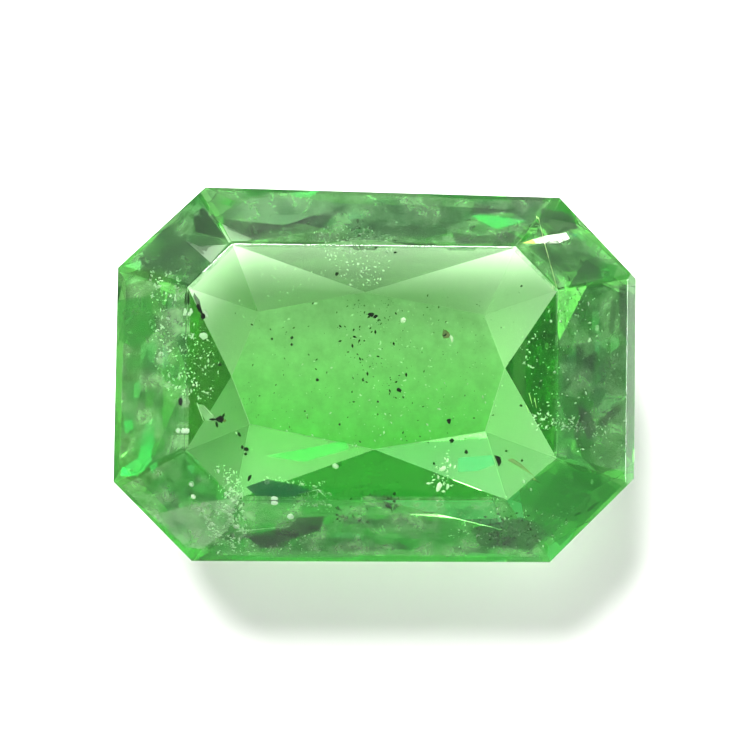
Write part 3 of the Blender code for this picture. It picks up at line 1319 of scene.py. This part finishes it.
@dataclass
class Studio:
    """White table, pale surroundings, soft lights mostly from the upper left, and the camera."""

    floor_radius: float = 0.6
    floor_sides: int = 64
    floor_gap: float = 0.01 * MM
    floor_color: str = "F2F2F0"
    floor_roughness: float = 0.6
    sky_strength: float = 1.0
    sky_stops: tuple[tuple[float, str], ...] = (
        (0.0, "F0F0F0"), (0.30, "C8C8C8"), (0.50, "B4B4B4"),
        (0.80, "DCDCDC"), (0.92, "DCDCDC"), (0.96, "8C8C8C"),
    )
    lights: tuple[SoftLight, ...] = (
        SoftLight("key_light", KEY_PLACE, 0.13, 35.0),
        SoftLight("right_light", (0.19, 0.0, 0.02), 0.10, 16.0),
    )
    photo: PhotoFrame = field(default_factory=PhotoFrame)
    sensor_width_mm: float = 36.0
    nearest: float = 0.01
    farthest: float = 2.0
    facet_bounces: int = 32
    mirror_bounces: int = 16

    def build_floor(self) -> None:
        """Lay the floor that the stone rests on, satin white acrylic that shows a soft shadow."""
        bm = bmesh.new()
        under = Matrix.Translation((0.0, 0.0, CAD_BOX[0].z - self.floor_gap))
        bmesh.ops.create_circle(bm, cap_ends=True, radius=self.floor_radius,
                                segments=self.floor_sides, matrix=under)
        mesh = make_mesh(bm, "floor")
        floor = add_object("floor", mesh)
        material, tree = empty_material("white_acrylic")
        shader = add_node(tree, "ShaderNodeBsdfPrincipled", {
            "Base Color": srgb(self.floor_color),
            "Roughness": self.floor_roughness,
        })
        add_node(tree, "ShaderNodeOutputMaterial", links={"Surface": shader.outputs["BSDF"]})
        mesh.materials.append(material)

    def build_surroundings(self) -> None:
        """Surround the stone with pale grey, dark straight above where the camera is."""
        world = bpy.data.worlds.new("studio")
        bpy.context.scene.world = world
        world.use_nodes = True
        tree = world.node_tree
        tree.nodes.clear()
        place = add_node(tree, "ShaderNodeTexCoord")
        split = add_node(tree, "ShaderNodeSeparateXYZ", links={"Vector": place.outputs["Generated"]})
        ramp = add_node(tree, "ShaderNodeValToRGB", links={"Fac": split.outputs["Z"]})
        stops = ramp.color_ramp.elements
        stops.remove(stops[1])
        for position, code in self.sky_stops:
            stop = stops[0] if position == 0.0 else stops.new(position)
            stop.color = srgb(code)
        sky = add_node(tree, "ShaderNodeBackground", {"Strength": self.sky_strength},
                       {"Color": ramp.outputs["Color"]})
        add_node(tree, "ShaderNodeOutputWorld", links={"Surface": sky.outputs["Background"]})

    def build_camera(self) -> None:
        """Look straight down on the table, framed as the photo is."""
        lens_data = bpy.data.cameras.new("camera")
        camera = add_object("camera", lens_data)
        camera.location = self.photo.camera_place()
        view_width = self.photo.width_px * self.photo.pixel
        distance = self.photo.camera_height - self.photo.girdle_height
        lens_data.sensor_width = self.sensor_width_mm
        lens_data.lens = lens_data.sensor_width * distance / view_width
        lens_data.clip_start = self.nearest
        lens_data.clip_end = self.farthest
        bpy.context.scene.camera = camera

    def set_colors(self) -> None:
        """Show colours as they are, and let light pass through many facets."""
        scene = bpy.context.scene
        scene.view_settings.view_transform = "Standard"
        scene.cycles.max_bounces = self.facet_bounces
        scene.cycles.transmission_bounces = self.facet_bounces
        scene.cycles.glossy_bounces = self.mirror_bounces
        scene.cycles.use_denoising = True

    def build(self) -> None:
        """Build the whole studio."""
        self.build_floor()
        self.build_surroundings()
        for light in self.lights:
            light.hang()
        self.build_camera()
        self.set_colors()
        LOG.info("studio: floor, surroundings, camera and %d lights", len(self.lights))


def main() -> None:
    """Build every piece in order and report it."""
    logging.basicConfig(level=logging.INFO, format="%(name)s: %(message)s")
    studio = Studio()
    stone = Stone().build()
    PaintedFacetLight().build(stone)
    Inclusions(SightLine(stone, studio.photo)).build()
    studio.build()


if __name__ == "__main__":
    main()
